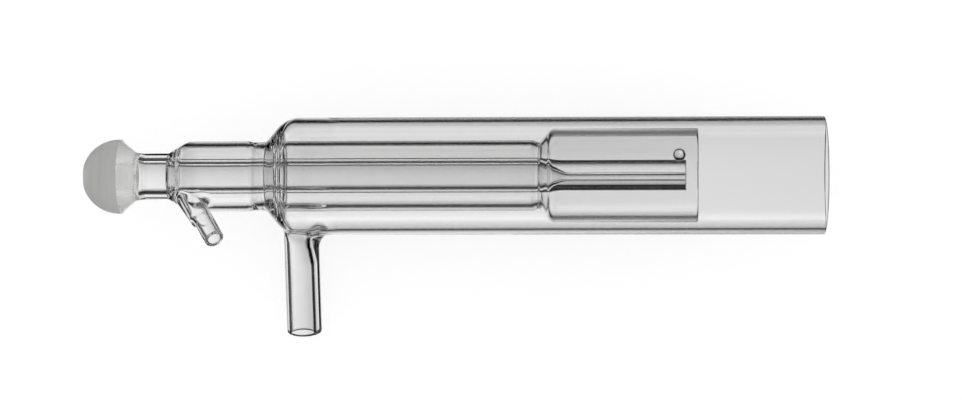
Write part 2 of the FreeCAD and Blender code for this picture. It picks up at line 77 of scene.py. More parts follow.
class TorchTubes(bpy.types.PropertyGroup):
    outer: size("Outer tube", "Outside diameter of the outer tube", 20.0)
    outer_wall: size("Outer wall", "Wall of the outer tube", 0.85)
    outer_length: size("Outer length", "Outlet to the corner of the shoulder", 91.3)
    outlet_edge: size("Outlet edge", "Length of the bevels of the outlet", 0.17)
    outlet_bend: size("Outlet bend", "Bend of the bevels of the outlet", 0.068)
    shoulder_slope: slope("Shoulder", "Slope of the shoulder from the axis", 50.0)
    shoulder_round: size("Shoulder bend", "Outside bend of the shoulder", 5.0)
    shoulder_hollow_round: size("Shoulder inside", "Inside bend of the shoulder", 2.8)
    seal: size("Ring seal", "Glass of the ring seal along the axis", 2.4)
    seal_fillet: size("Seal fillet", "Glass drawn up at the ring seal", 0.8)
    seal_inner_fillet: size("Seal inner fillet", "Glass drawn up inside the ring seal", 0.48)
    seal_bulge: size("Seal bulge", "Glass sunk inwards at the ring seal", 0.4)
    seal_bulge_lead: size("Bulge lead", "Shoulder to the flat of the bulge", 0.3)
    seal_dip: size("Seal waist", "Waist behind the ring seal", 0.18)
    seal_dip_lead: size("Waist lead", "Shoulder to the waist", 0.8)
    seal_flat: size("Seal flat", "Flat of the bulge and of the waist", 1.3)
    seal_ramp: size("Seal ramp", "Run-out of the bulge and of the waist", 1.1)
    seal_soft: size("Bulge bend", "Bends of the bulge", 0.77)
    middle: size("Middle tube", "Outside diameter of the middle tube", 12.0)
    middle_wall: size("Middle wall", "Wall of the middle tube", 0.85)
    rear_length: size("Rear length", "Shoulder to the corner of the closure", 13.6)
    closure_slope: slope("Closure", "Slope of the closure from the axis", 31.0)
    closure_round: size("Closure bend", "Outside bend of the closure", 4.0)
    closure_hollow_round: size("Closure inside", "Inside bend of the closure", 1.4)
    closure: size("Closure glass", "Glass of the closure along the axis", 1.8)
    wide: size("Wide end", "Outside diameter of the wide end", 16.0)
    wide_wall: size("Wide wall", "Wall of the wide end", 1.0)
    wide_recess: size("Wide recess", "Outlet to the wide end", 21.6)
    wide_length: size("Wide length", "Wide end up to the corner of the flare", 24.8)
    wide_edge: size("Wide rim", "Polished rim of the wide end", 0.3)
    flare_slope: slope("Flare", "Slope of the flare from the axis", 50.0)
    flare_round: size("Flare bend", "Bend at the large end of the flare", 2.0)
    flare_hollow_round: size("Flare inside", "Inside bend of the flare", 1.0)
    weld_pinch: size("Weld groove", "Groove round the weld of the flare", 0.4)
    weld_pinch_round: size("Groove bend", "Bend at the bottom of the groove", 0.35)
    weld_ramp: size("Weld ramp", "Weld to the full width of the tube", 0.95)
    weld_ramp_round: size("Ramp bend", "Bend at the full width of the tube", 0.8)
    weld_bulge: size("Weld bulge", "Glass sunk inwards at the weld", 0.25)
    weld_flat: size("Weld flat", "Half the flat of that glass", 0.58)
    weld_run: size("Weld run", "Run-out of that glass behind the weld", 0.6)
    weld_soft: size("Weld bend", "Bends of that glass behind the weld", 0.5)
    weld_front: size("Weld front", "Bend of that glass in front of the weld", 0.4)
    siding: size("Siding", "Insides of the tubes out of the middle", 0.15)


class TorchInlet(bpy.types.PropertyGroup):
    stem: size("Stem", "Outside diameter of the stem", 8.0)
    stem_bore: size("Stem bore", "Inside of the stem", 5.0)
    stem_length: size("Stem length", "Closure to the neck of the ball", 5.3)
    stem_fillet: size("Stem fillet", "Glass drawn up where the stem leaves the closure", 0.4)
    ball: size("Ball", "Diameter of the ground ball", 12.7)
    ball_bore: size("Mouth", "Mouth of the ball", 5.0)
    mouth_end: size("Mouth end", "Centre of the ball to the end of the mouth", 1.6)
    mouth_round: size("Mouth bend", "Bends between the mouth and the throat", 1.0)
    throat: size("Throat", "Narrowest bore of the ball", 4.4)
    throat_start: size("Throat start", "Centre of the ball to the throat", 0.4)
    throat_end: size("Throat end", "End of the throat to the neck", 0.5)
    throat_round: size("Throat bend", "Bend at the end of the throat", 0.3)
    ball_neck: size("Ball neck", "Centre of the ball to the neck", 3.3)
    land: size("Land", "Ground band past the widest circle", 0.45)
    bevel: size("Bevel", "Length of the bevel behind the land", 0.45)
    back: size("Ball back", "Back of the ball inside the bevel", 11.5)
    neck_start: size("Neck start", "End of the plain stem to the neck", 0.5)
    neck_start_round: size("Neck start bend", "Bend at the end of the plain stem", 1.0)
    neck_end: size("Neck end", "Neck to the glass drawn up at the ball", 0.4)
    neck_swell: size("Neck swell", "Widening of the stem towards the ball", 0.15)
    neck_fillet: size("Neck fillet", "Glass drawn up at the ball", 0.8)
    neck_bulge: size("Neck bulge", "Hollow ring blown in the neck", 0.25)
    bulge_start: size("Bulge start", "Neck to the widest place of the hollow ring", 0.1)
    bulge_start_round: size("Bulge start bend", "Bend at the widest place of the ring", 0.35)
    bulge_end: size("Bulge end", "Neck to the plain inside of the stem", 1.2)
    bulge_end_round: size("Bulge end bend", "Bend into the plain inside of the stem", 0.4)
    injector: size("Injector", "Outside diameter of the injector", 6.0)
    injector_bore: size("Injector bore", "Inside of the injector", 4.0)
    injector_fillet: size("Injector fillet", "Glass drawn up where the injector meets the closure", 0.4)
    narrowing: size("Narrowing", "Length and bends of the step between the two insides", 2.4)
    funnel_start: size("Funnel", "Outlet to the wide end of the funnel", 48.3)
    funnel_length: size("Funnel length", "Funnel of the bore", 4.2)
    funnel_round: size("Funnel bend", "Bends at both ends of the funnel", 4.0)
    capillary: size("Capillary", "Outside diameter of the capillary", 5.25)
    capillary_bore: size("Capillary bore", "Inside of the capillary", 1.0)
    capillary_recess: size("Tip", "Outlet to the tip of the capillary", 23.9)
    capillary_rim: size("Tip rim", "Outside bend of the tip", 0.2)
    capillary_edge: size("Tip edge", "Inside bend of the tip", 0.1)
    bore_siding: size("Bore siding", "Bore of the capillary out of the middle", 0.2)
    draw: size("Draw-down", "Draw-down from the injector tube", 2.4)
    draw_lead: size("Draw-down lead", "Start of the funnel to the draw-down", 0.6)
    draw_round: size("Draw-down bend", "Bends of the draw-down", 2.4)
    bead: size("Bead", "Diameter of the bead beside the tip", 2.1)
    bead_station: size("Bead place", "Outlet to the middle of the bead", 25.0)
    bead_sink: size("Bead sink", "Depth of the bead in the capillary", 0.12)


class TorchArms(bpy.types.PropertyGroup):
    angle: slope("Between arms", "Angle between the arms about the axis", 60.0)
    plasma: size("Plasma arm", "Outside diameter of the plasma gas arm", 6.0)
    plasma_bore: size("Plasma bore", "Inside of the plasma gas arm", 3.75)
    plasma_offset: size("Bore offset", "Middle of the bore behind the middle of the arm", 0.2)
    plasma_setback: size("Plasma place", "Corner of the shoulder to the axis of the arm", 2.1)
    plasma_length: size("Plasma length", "Outside of the outer tube to the tip", 17.85)
    plasma_root: size("Plasma foot", "Foot of the arm, half way into the torch", 7.0)
    plasma_root_length: size("Plasma foot length", "Outside of the outer tube to the end of the foot", 2.6)
    plasma_root_round: size("Plasma foot bend", "Bend of the foot into the plain arm", 6.0)
    plasma_plain: size("Plasma plain", "End of the foot to where the drawn-up glass may begin", 1.2)
    plasma_waist: size("Plasma waist", "Waist of the bore at the foot", 2.85)
    plasma_waist_far: size("Waist far end", "End of the foot to the plain bore", 2.8)
    plasma_waist_far_round: size("Waist far bend", "Bend at that end", 4.0)
    plasma_waist_near: size("Waist near end", "Full waist to the end of the foot", 0.3)
    plasma_waist_near_round: size("Waist near bend", "Bend at that end", 2.0)
    plasma_waist_reach: size("Waist reach", "End of the foot to where the bore is round again", 4.0)
    plasma_flow: size("Plasma mouth", "Bend of the bore into the outer tube", 2.4)
    plasma_flow_lead: size("Plasma mouth lead", "Straight bore before that bend", 0.1)
    plasma_fillet: size("Plasma fillet", "Glass drawn up round the foot", 3.0)
    plasma_rim: size("Plasma rim", "Fire-polished rim", 0.4)
    aux: size("Auxiliary arm", "Outside diameter of the auxiliary gas arm", 3.3)
    aux_bore: size("Auxiliary bore", "Inside of the auxiliary gas arm", 2.05)
    aux_setback: size("Auxiliary place", "Corner of the closure to the arm's line on the axis", 1.6)
    aux_slope: slope("Auxiliary slope", "Auxiliary arm from the torch axis", 63.0)
    aux_length: size("Auxiliary length", "Outside of the middle tube to the tip", 10.8)
    aux_root: size("Auxiliary foot", "Foot of the arm inside the torch", 5.4)
    aux_root_length: size("Auxiliary foot length", "Outside of the middle tube to the end of the foot", 5.5)
    aux_root_end: size("Auxiliary foot end", "End of the foot", 4.2)
    aux_root_end_round: size("Auxiliary foot bend", "Bend at the end of the foot", 0.5)
    aux_step: size("Auxiliary step", "End of the foot to the plain arm", 0.6)
    aux_step_round: size("Auxiliary step bend", "Bend at the plain arm", 0.4)
    aux_plain: size("Auxiliary plain", "Where the drawn-up glass may begin to the end of the foot", 0.5)
    aux_hollow: size("Auxiliary hollow", "Bore in the foot of the auxiliary arm", 2.9)
    aux_hollow_far: size("Hollow far end", "End of the foot to the plain bore", 0.3)
    aux_hollow_near: size("Hollow near end", "Full hollow to the end of the foot", 1.2)
    aux_hollow_round: size("Hollow bend", "Bends at both of these ends", 1.0)
    aux_hollow_reach: size("Hollow reach", "End of the foot to where the bore is round again", 1.0)
    aux_flow: size("Auxiliary mouth", "Bend of the bore into the middle tube", 1.3)
    aux_flow_lead: size("Auxiliary mouth lead", "Straight bore before that bend", 0.8)
    aux_fillet: size("Auxiliary fillet", "Glass drawn up round the foot", 1.2)
    aux_rim: size("Auxiliary rim", "Fire-polished rim", 0.25)
    rim_round: share("Rim bend", "Bend of both rims as a share of the rim", 0.9)


class TorchMesh(bpy.types.PropertyGroup):
    around: IntProperty(name="Steps around", description="Facets round the torch", default=144)
    arm_around: IntProperty(name="Steps round an arm", description="Facets round an arm", default=80)
    bead_around: IntProperty(name="Steps round the bead", description="Facets round the bead", default=48)
    bead_along: IntProperty(name="Steps along the bead", description="Rows of the bead", default=24)
    plasma_gap: size("Plasma rows", "Rows of facets apart beside the plasma arm", 0.5)
    plasma_behind: size("Plasma rows behind", "Arm to the last of these rows", 6.0)
    plasma_ahead: size("Plasma rows ahead", "Arm to the first of these rows", 7.0)
    aux_gap: size("Auxiliary rows", "Rows of facets apart beside the auxiliary arm", 0.4)
    aux_behind: size("Auxiliary rows behind", "Corner of the closure to the last of these rows", 2.0)
    aux_ahead: size("Auxiliary rows ahead", "Corner of the closure to the first of these rows", 6.0)
    turn: slope("Step of a bend", "Largest turn between two facets of a bend", 10.0)
    corner: slope("Sharp corner", "Smallest turn that is drawn as a sharp edge", 40.0)


class TorchLook(bpy.types.PropertyGroup):
    tint: FloatVectorProperty(
        name="Glass tint",
        description="Colour of light through the glass",
        subtype="COLOR",
        default=(0.987, 0.988, 0.987),
    )
    index: share("Index", "Refractive index of fused quartz", 1.458)
    ground: share("Ground roughness", "Roughness of the ground ball", 0.7)
    ground_through: share("Ground clearness", "Share of light that passes the ground ball", 0.9)
    ground_tint: FloatVectorProperty(
        name="Ground tint",
        description="Colour of the ground ball",
        subtype="COLOR",
        default=(0.55, 0.55, 0.54),
    )
    rings: share("Rings", "Rings of the grinding to the millimetre", 0.9)
    ring_change: share("Ring change", "Change round the ball as a share of that along it", 0.04)
    ring_dark: share("Dark rings", "Darkest ring as a share of the ground tint", 0.88)
    ring_light: share("Light rings", "Lightest ring as a share of the ground tint", 1.06)


class TorchStage(bpy.types.PropertyGroup):
    distance: size("Camera distance", "Camera to the point that it looks at", 454.4)
    tilt: slope("Camera tilt", "Camera towards the outlet from straight above", 3.0)
    roll: slope("Camera roll", "Turn of the picture", -0.095)
    aim: FloatVectorProperty(
        name="Aim",
        description="Point that the camera looks at",
        subtype="TRANSLATION",
        unit="LENGTH",
        default=(-58.2 * MM, -4.1 * MM, 0),
    )
    lens: share("Lens", "Focal length in millimetres", 100.0)
    film: share("Film", "Width of the film in millimetres", 36.0)
    floor: size("Floor", "Side of the floor", 3000.0)
    floor_gap: size("Floor gap", "Floor to the torch", 0.02)
    floor_paint: share("Floor paint", "Share of light that the floor throws back", 0.5)
    floor_glow: share("Floor glow", "Light that the floor gives off", 0.76)
    plain_light: share("Plain light", "Light on all that isn't clear glass", 0.55)
    bounces: IntProperty(name="Bounces", description="Turns that a ray may take in the glass", default=48)
    mirrored: IntProperty(name="Mirrored", description="Turns of those that may be mirrored", default=24)


def arc(start, corner, end, radius, turn):
    """Points of the arc that rounds a corner between two other points."""
    back = (start - corner).normalized()
    ahead = (end - corner).normalized()
    half = back.angle(ahead) / 2
    middle = corner + (back + ahead).normalized() * (radius / math.sin(half))
    first = corner + back * (radius / math.tan(half)) - middle
    last = corner + ahead * (radius / math.tan(half)) - middle
    sweep = first.angle_signed(last)
    steps = max(2, math.ceil(abs(sweep) / turn))
    return [middle + Matrix.Rotation(-sweep * step / steps, 2) @ first for step in range(steps + 1)]


def bent(corners, turn, closed=False):
    """The points of an outline whose corners (place, radius, bend) are rounded where a bend is given."""
    spots = [Vector((x, r)) for x, r, _ in corners]
    points = []
    for number, (_, _, radius) in enumerate(corners):
        inside = closed or 0 < number < len(corners) - 1
        if radius and inside:
            following = spots[(number + 1) % len(spots)]
            points += arc(spots[number - 1], spots[number], following, radius, turn)
        else:
            points.append(spots[number])
    return points


def finer(points, low, high, gap):
    """The same outline with more points between two places along the axis."""
    least = 1e-3
    found = []
    for here, there in zip(points, points[1:]):
        found.append(here)
        run = there - here
        if abs(run.x) < gap / 10:
            continue
        ends = sorted((low - here.x) / run.x for low in (low, high))
        begin = max(0.0, ends[0])
        end = min(1.0, ends[1])
        if end > begin:
            steps = max(1, round((end - begin) * run.length / gap))
            cuts = [begin + (end - begin) * step / steps for step in range(steps + 1)]
            found += [here + run * cut for cut in cuts if least < cut < 1 - least]
    return found + [points[-1]]


def radius_at(points, place):
    """The radius of an outline at a place along the axis."""
    for here, there in zip(points, points[1:]):
        if min(here.x, there.x) <= place <= max(here.x, there.x) and here.x != there.x:
            return here.y + (there.y - here.y) * (place - here.x) / (there.x - here.x)
    return points[-1].y


def mesh_of(name, bm, place=None):
    """A mesh object with its faces turned outwards."""
    bmesh.ops.remove_doubles(bm, verts=bm.verts, dist=SAME_POINT)
    bmesh.ops.recalc_face_normals(bm, faces=bm.faces)
    mesh = bpy.data.meshes.new(name)
    bm.to_mesh(mesh)
    bm.free()
    if place:
        mesh.transform(place)
    piece = bpy.data.objects.new(name, mesh)
    bpy.context.scene.collection.objects.link(piece)
    return piece


def turned(name, points, around):
    """A closed outline turned about the first axis."""
    bm = bmesh.new()
    verts = [bm.verts.new((point.x, point.y, 0)) for point in points]
    edges = [bm.edges.new(pair) for pair in zip(verts, verts[1:] + verts[:1])]
    bmesh.ops.spin(
        bm,
        geom=verts + edges,
        cent=(0, 0, 0),
        axis=(1, 0, 0),
        angle=2 * math.pi,
        steps=around,
        use_merge=True,
    )
    return mesh_of(name, bm)


def combine(target, tool, operation):
    """Adds one mesh to another, or cuts one out of the other."""
    modifier = target.modifiers.new(operation.lower(), "BOOLEAN")
    modifier.solver = "EXACT"
    modifier.operation = operation
    modifier.object = tool
    bpy.context.view_layer.update()
    graph = bpy.context.evaluated_depsgraph_get()
    mesh = bpy.data.meshes.new_from_object(target.evaluated_get(graph))
    target.modifiers.clear()
    target.data = mesh
    bpy.data.objects.remove(tool)


def places(tubes, inlet, arms):
    """Places that several pieces share: distances behind the outlet, and the frames of both arms."""
    at = SimpleNamespace()
    drop = (tubes.outer - tubes.middle) / 2
    at.shoulder = tubes.outer_length + drop / math.tan(tubes.shoulder_slope)
    at.seal_face = at.shoulder - tubes.seal
    at.closure = at.shoulder + tubes.rear_length
    at.closure_end = at.closure + (tubes.middle - inlet.stem) / 2 / math.tan(tubes.closure_slope)
    at.closure_face = at.closure_end - tubes.closure
    at.neck = at.closure_end + inlet.stem_length
    at.ball = at.neck + inlet.ball_neck
    at.flare = tubes.wide_recess + tubes.wide_length
    drop = (tubes.wide - tubes.middle) / 2 + tubes.weld_pinch
    at.weld = at.flare + drop / math.tan(tubes.flare_slope)
    at.plasma = tubes.outer_length - arms.plasma_setback
    at.plasma_tip = tubes.outer / 2 + arms.plasma_length
    at.aux_tip = tubes.middle / 2 + arms.aux_length
    at.plasma_frame = Matrix.Translation((-at.plasma, 0, 0)) @ Matrix.Rotation(-math.pi / 2, 4, "Z")
    leaning = Matrix.Rotation(-arms.angle, 4, "X") @ Matrix.Rotation(-arms.aux_slope, 4, "Z")
    at.aux_frame = Matrix.Translation((-at.closure - arms.aux_setback, 0, 0)) @ leaning
    # The torch lies on the outer tube and on the rim of the plasma arm, turned by this angle
    edge = arms.plasma_rim
    height = tubes.outer / 2 - edge
    reach = at.plasma_tip - edge
    half = arms.plasma / 2 - edge
    at.lay = math.asin(height / math.hypot(reach, half)) - math.atan(half / reach)
    return at


def shell_outside(tubes, inlet, at):
    """The outside of the torch from the outlet to the neck of the ball."""
    outer = tubes.outer / 2
    middle = tubes.middle / 2
    stem = inlet.stem / 2
    waist = middle - tubes.seal_dip
    near = at.shoulder + tubes.seal_dip_lead
    far = near + tubes.seal_flat
    return [
        (0, outer - tubes.outer_wall / 2, 0),
        (-tubes.outlet_edge, outer, tubes.outlet_bend),
        (-tubes.outer_length, outer, tubes.shoulder_round),
        (-at.shoulder, middle, tubes.seal_fillet),
        (-near, waist, tubes.seal_flat / 2),
        (-far, waist, tubes.seal_flat / 2),
        (-far - tubes.seal_ramp, middle, tubes.seal_ramp),
        (-at.closure, middle, tubes.closure_round),
        (-at.closure_end, stem, inlet.stem_fillet),
        (-at.neck + inlet.neck_start, stem, inlet.neck_start_round),
        (-at.neck - inlet.neck_end, stem + inlet.neck_swell, inlet.neck_fillet),
        (-at.ball + inlet.land + inlet.bevel, inlet.back / 2, 0),
    ]


def ball_face(inlet, at, turn):
    """The ground face of the ball, from its widest part to the mouth, in half the usual turns."""
    radius = inlet.ball / 2
    begin = math.acos(inlet.land / radius)
    end = math.pi - math.asin(inlet.ball_bore / inlet.ball)
    steps = math.ceil((end - begin) / (turn / 2))
    angles = [begin + (end - begin) * step / steps for step in range(steps + 1)]
    return [(-at.ball + radius * math.cos(angle), radius * math.sin(angle), 0) for angle in angles]


def injector_inside(inlet, at):
    """The sample gas path, from the mouth of the ball to the tip of the capillary."""
    stem = inlet.stem_bore / 2
    throat = inlet.throat / 2
    bore = inlet.injector_bore / 2
    fine = inlet.capillary_bore / 2
    return [
        (-at.ball - inlet.mouth_end, inlet.ball_bore / 2, inlet.mouth_round),
        (-at.ball + inlet.throat_start, throat, inlet.mouth_round),
        (-at.neck - inlet.throat_end, throat, inlet.throat_round),
        (-at.neck + inlet.bulge_start, stem + inlet.neck_bulge, inlet.bulge_start_round),
        (-at.neck + inlet.bulge_end, stem, inlet.bulge_end_round),
        (-at.closure_end, stem, inlet.narrowing),
        (-at.closure_end + inlet.narrowing, bore, inlet.narrowing),
        (-inlet.funnel_start, bore, inlet.funnel_round),
        (-inlet.funnel_start + inlet.funnel_length, fine, inlet.funnel_round),
        (-inlet.capillary_recess, fine, inlet.capillary_edge),
    ]


def injector_outside(inlet, at):
    """The outside of the injector, from the tip of the capillary to the closure."""
    tube = inlet.injector / 2
    capillary = inlet.capillary / 2
    step = inlet.funnel_start - inlet.draw_lead
    return [
        (-inlet.capillary_recess, capillary, inlet.capillary_rim),
        (-step + inlet.draw, capillary, inlet.draw_round),
        (-step, tube, inlet.draw_round),
        (-at.closure_face, tube, inlet.injector_fillet),
    ]


def middle_inside(tubes, at):
    """The inside of the middle tube, from the closure to its wide end."""
    hollow = tubes.middle / 2 - tubes.middle_wall
    wide = tubes.wide / 2 - tubes.wide_wall
    bulge = hollow - tubes.seal_bulge
    weld = hollow - tubes.weld_bulge
    near = at.shoulder + tubes.seal_bulge_lead
    far = near + tubes.seal_flat
    weld_near = at.weld - tubes.weld_flat
    weld_far = at.weld + tubes.weld_flat
    run = (wide - weld) / math.tan(tubes.flare_slope)
    soft = tubes.seal_soft
    return [
        (-at.closure_face, hollow, tubes.closure_hollow_round),
        (-far - tubes.seal_ramp, hollow, soft),
        (-far, bulge, soft),
        (-near, bulge, soft),
        (-near + tubes.seal_ramp, hollow, soft),
        (-weld_far - tubes.weld_run, hollow, tubes.weld_soft),
        (-weld_far, weld, tubes.weld_soft),
        (-weld_near, weld, tubes.weld_front),
        (-weld_near + run, wide, tubes.flare_hollow_round),
        (-tubes.wide_recess, wide, tubes.wide_edge),
    ]


def middle_outside(tubes, at):
    """The outside of the middle tube, from its wide end to the ring seal."""
    middle = tubes.middle / 2
    return [
        (-tubes.wide_recess, tubes.wide / 2, tubes.wide_edge),
        (-at.flare, tubes.wide / 2, tubes.flare_round),
        (-at.weld, middle - tubes.weld_pinch, tubes.weld_pinch_round),
        (-at.weld - tubes.weld_ramp, middle, tubes.weld_ramp_round),
        (-at.seal_face, middle, tubes.seal_inner_fillet),
    ]


def outer_inside(tubes, at):
    """The inside of the outer tube, from the ring seal to the outlet."""
    hollow = tubes.outer / 2 - tubes.outer_wall
    return [
        (-at.seal_face, hollow, tubes.shoulder_hollow_round),
        (-tubes.outlet_edge, hollow, tubes.outlet_bend),
    ]


def drawn_up(name, frame_of_arm, outline, plain, skin, fillet, around, swell):
    """A solid arm, or the bore of one, whose foot runs out smoothly on the skin of a tube.

    outline is the arm's section from the tip down, plain the place where its foot begins, and skin
    the outline of the tube. The solid ends a little below that skin. swell gives the plain radius, the
    side on which the foot differs from it, 1 towards the outlet and -1 towards the ball, and the place
    where that begins.
    """
    plain_radius, side, swell_start = swell
    bend_steps = 9
    arm_steps = 8
    halvings = 24
    stride = 0.2 * MM
    nudge = 0.05 * MM
    depth = 0.5 * MM
    longest = 1.9 * fillet
    inner_rings = (0.75, 0.5, 0.25)

    def ring(point, angle):
        """A point of the section, turned by an angle about the arm."""
        r = point.y
        if point.x < swell_start:
            r = plain_radius + (r - plain_radius) * ((1 + side * math.cos(angle)) / 2) ** 2
        return frame_of_arm @ Vector((point.x, r * math.cos(angle), r * math.sin(angle)))

    def on_arm(place, angle):
        """The point of the arm at a place along it and an angle about it."""
        return ring(Vector((place, radius_at(outline, place))), angle)

    def height(point):
        """How far a point stands above the skin."""
        return math.hypot(point.y, point.z) - radius_at(skin, point.x)

    def laid(point, sunk=0.0):
        """The point of the skin below or above another, or one sunk under the skin."""
        factor = (radius_at(skin, point.x) - sunk) / math.hypot(point.y, point.z)
        return Vector((point.x, point.y * factor, point.z * factor))

    def column(angle):
        """Points down one side of the arm, round its foot and under the skin."""
        low = plain
        while height(on_arm(low, angle)) > 0:
            low -= stride
        high = low + stride
        for _ in range(halvings):
            middle = (low + high) / 2
            if height(on_arm(middle, angle)) > 0:
                high = middle
            else:
                low = middle
        foot = on_arm(high, angle)
        up = (on_arm(high + nudge, angle) - foot).normalized()
        out = frame_of_arm.to_3x3() @ Vector((0, math.cos(angle), math.sin(angle)))
        away = (laid(foot + out * nudge) - foot).normalized()
        reach = min(fillet / math.tan(up.angle(away) / 2), longest)
        top = high + reach
        rows = [ring(point, angle) for point in outline if point.x > plain + nudge]
        rows += [on_arm(plain + (top - plain) * step / arm_steps, angle) for step in range(arm_steps + 1)]
        begin = rows[-1]
        end = laid(foot + away * reach)
        for number in range(1, bend_steps + 1):
            part = number / bend_steps
            curve = begin * (1 - part) ** 2 + foot * (2 * part * (1 - part)) + end * part**2
            rows.append(curve)
        return rows + [laid(end, depth)]

    bm = bmesh.new()
    columns = [column(2 * math.pi * number / around) for number in range(around)]
    centre = sum((rows[-1] for rows in columns), Vector()) / around
    for rows in columns:
        last = rows[-1]
        for part in inner_rings:
            rows.append(laid(centre + (last - centre) * part, depth))
    grid = [[bm.verts.new(point) for point in rows] for rows in columns]
    for one, other in zip(grid, grid[1:] + grid[:1]):
        for number in range(len(one) - 1):
            bm.faces.new((one[number], one[number + 1], other[number + 1], other[number]))
    tip = bm.verts.new(frame_of_arm @ Vector((outline[0].x, 0, 0)))
    under = bm.verts.new(laid(centre, depth))
    for one, other in zip(grid, grid[1:] + grid[:1]):
        bm.faces.new((tip, one[0], other[0]))
        bm.faces.new((under, other[-1], one[-1]))
    return mesh_of(name, bm)


def plasma_arm(body, arms, tubes, at, skin, lining, mesh):
    """The plasma gas arm, fused on, with its bore."""
    radius = arms.plasma / 2
    rim = arms.plasma_rim
    foot = tubes.outer / 2 + arms.plasma_root_length
    half_way = tubes.outer / 4
    outline = bent([
        (at.plasma_tip, radius - rim, 0),
        (at.plasma_tip, radius, rim * arms.rim_round),
        (foot, radius, arms.plasma_root_round),
        (half_way, arms.plasma_root / 2, 0),
    ], mesh.turn)
    plain = foot + arms.plasma_plain
    fillet = arms.plasma_fillet
    swell = (radius, 1, plain)
    arm = drawn_up("plasma_arm", at.plasma_frame, outline, plain, skin, fillet, mesh.arm_around, swell)
    combine(body, arm, "UNION")
    bore = arms.plasma_bore / 2
    waist = arms.plasma_waist / 2
    inside = bent([
        (at.plasma_tip + PAST_TIP, bore + rim, 0),
        (at.plasma_tip, bore + rim, 0),
        (at.plasma_tip, bore, rim * arms.rim_round),
        (foot + arms.plasma_waist_far, bore, arms.plasma_waist_far_round),
        (foot - arms.plasma_waist_near, waist, arms.plasma_waist_near_round),
        (half_way, waist, 0),
    ], mesh.turn)
    behind = Matrix.Translation((-arms.plasma_offset, 0, 0)) @ at.plasma_frame
    flow = arms.plasma_flow
    start = tubes.outer / 2 - tubes.outer_wall + flow + arms.plasma_flow_lead
    swell = (bore, 1, foot + arms.plasma_waist_reach)
    tool = drawn_up("plasma_bore", behind, inside, start, lining, flow, mesh.arm_around, swell)
    combine(body, tool, "DIFFERENCE")


def auxiliary_arm(body, arms, tubes, at, skin, lining, mesh):
    """The auxiliary gas arm, fused on, with its bore."""
    radius = arms.aux / 2
    rim = arms.aux_rim
    foot = tubes.middle / 2 + arms.aux_root_length
    half_way = tubes.middle / 4
    outline = bent([
        (at.aux_tip, radius - rim, 0),
        (at.aux_tip, radius, rim * arms.rim_round),
        (foot + arms.aux_step, radius, arms.aux_step_round),
        (foot, arms.aux_root_end / 2, arms.aux_root_end_round),
        (half_way, arms.aux_root / 2, 0),
    ], mesh.turn)
    plain = foot - arms.aux_plain
    fillet = arms.aux_fillet
    swell = (radius, -1, foot + arms.aux_step)
    arm = drawn_up("auxiliary_arm", at.aux_frame, outline, plain, skin, fillet, mesh.arm_around, swell)
    combine(body, arm, "UNION")
    bore = arms.aux_bore / 2
    hollow = arms.aux_hollow / 2
    inside = bent([
        (at.aux_tip + PAST_TIP, bore + rim, 0),
        (at.aux_tip, bore + rim, 0),
        (at.aux_tip, bore, rim * arms.rim_round),
        (foot + arms.aux_hollow_far, bore, arms.aux_hollow_round),
        (foot - arms.aux_hollow_near, hollow, arms.aux_hollow_round),
        (half_way, hollow, 0),
    ], mesh.turn)
    flow = arms.aux_flow
    start = tubes.middle / 2 + flow + arms.aux_flow_lead
    swell = (bore, -1, foot + arms.aux_hollow_reach)
    tool = drawn_up("auxiliary_bore", at.aux_frame, inside, start, lining, flow, mesh.arm_around, swell)
    combine(body, tool, "DIFFERENCE")


def small_bead(body, inlet, mesh):
    """The bead on the capillary, opposite the plasma arm."""
    bm = bmesh.new()
    around = mesh.bead_around
    bmesh.ops.create_uvsphere(bm, u_segments=around, v_segments=mesh.bead_along, radius=inlet.bead / 2)
    out = inlet.capillary / 2 + inlet.bead / 2 - inlet.bead_sink
    combine(body, mesh_of("bead", bm, Matrix.Translation((-inlet.bead_station, out, 0))), "UNION")


def shift_bores(body, tubes, inlet, at):
    """Moves the insides of the drawn tubes out of the middle, as the walls of such tubes are uneven."""
    outer = tubes.outer / 2 - tubes.outer_wall
    outer_span = 0.2 * MM
    outer_start = -at.plasma + 5 * MM
    middle = tubes.middle / 2 - tubes.middle_wall
    middle_span = 0.5 * MM
    run = 4 * MM
    middle_start = -at.shoulder - run
    fine = inlet.capillary_bore / 2
    for vertex in body.data.vertices:
        x, y, z = vertex.co
        radius = math.hypot(y, z)
        fade = 0
        if abs(radius - outer) < outer_span:
            fade = (x - outer_start) / run
        elif radius < 2 * fine and x > -inlet.funnel_start:
            vertex.co.y -= inlet.bore_siding * min(1, (2 * fine - radius) / fine)
        elif abs(radius - middle) < middle_span and x < -at.flare:
            fade = (x - middle_start) / run
        vertex.co.y += tubes.siding * min(1, max(0, fade))


def new_material(name):
    """An empty node material with its output."""
    material = bpy.data.materials.new(name)
    material.use_nodes = True
    tree = material.node_tree
    tree.nodes.clear()
    output = tree.nodes.new("ShaderNodeOutputMaterial")
    return material, tree.nodes, tree.links, output


def clear_glass(look):
    """Fused quartz as it is drawn."""
    material, nodes, links, output = new_material("clear_quartz")
    shader = nodes.new("ShaderNodeBsdfPrincipled")
    shader.inputs["Base Color"].default_value = (*look.tint, 1)
    shader.inputs["Roughness"].default_value = 0.0
    shader.inputs["IOR"].default_value = look.index
    shader.inputs["Transmission Weight"].default_value = 1.0
    links.new(shader.outputs[0], output.inputs["Surface"])
    return material


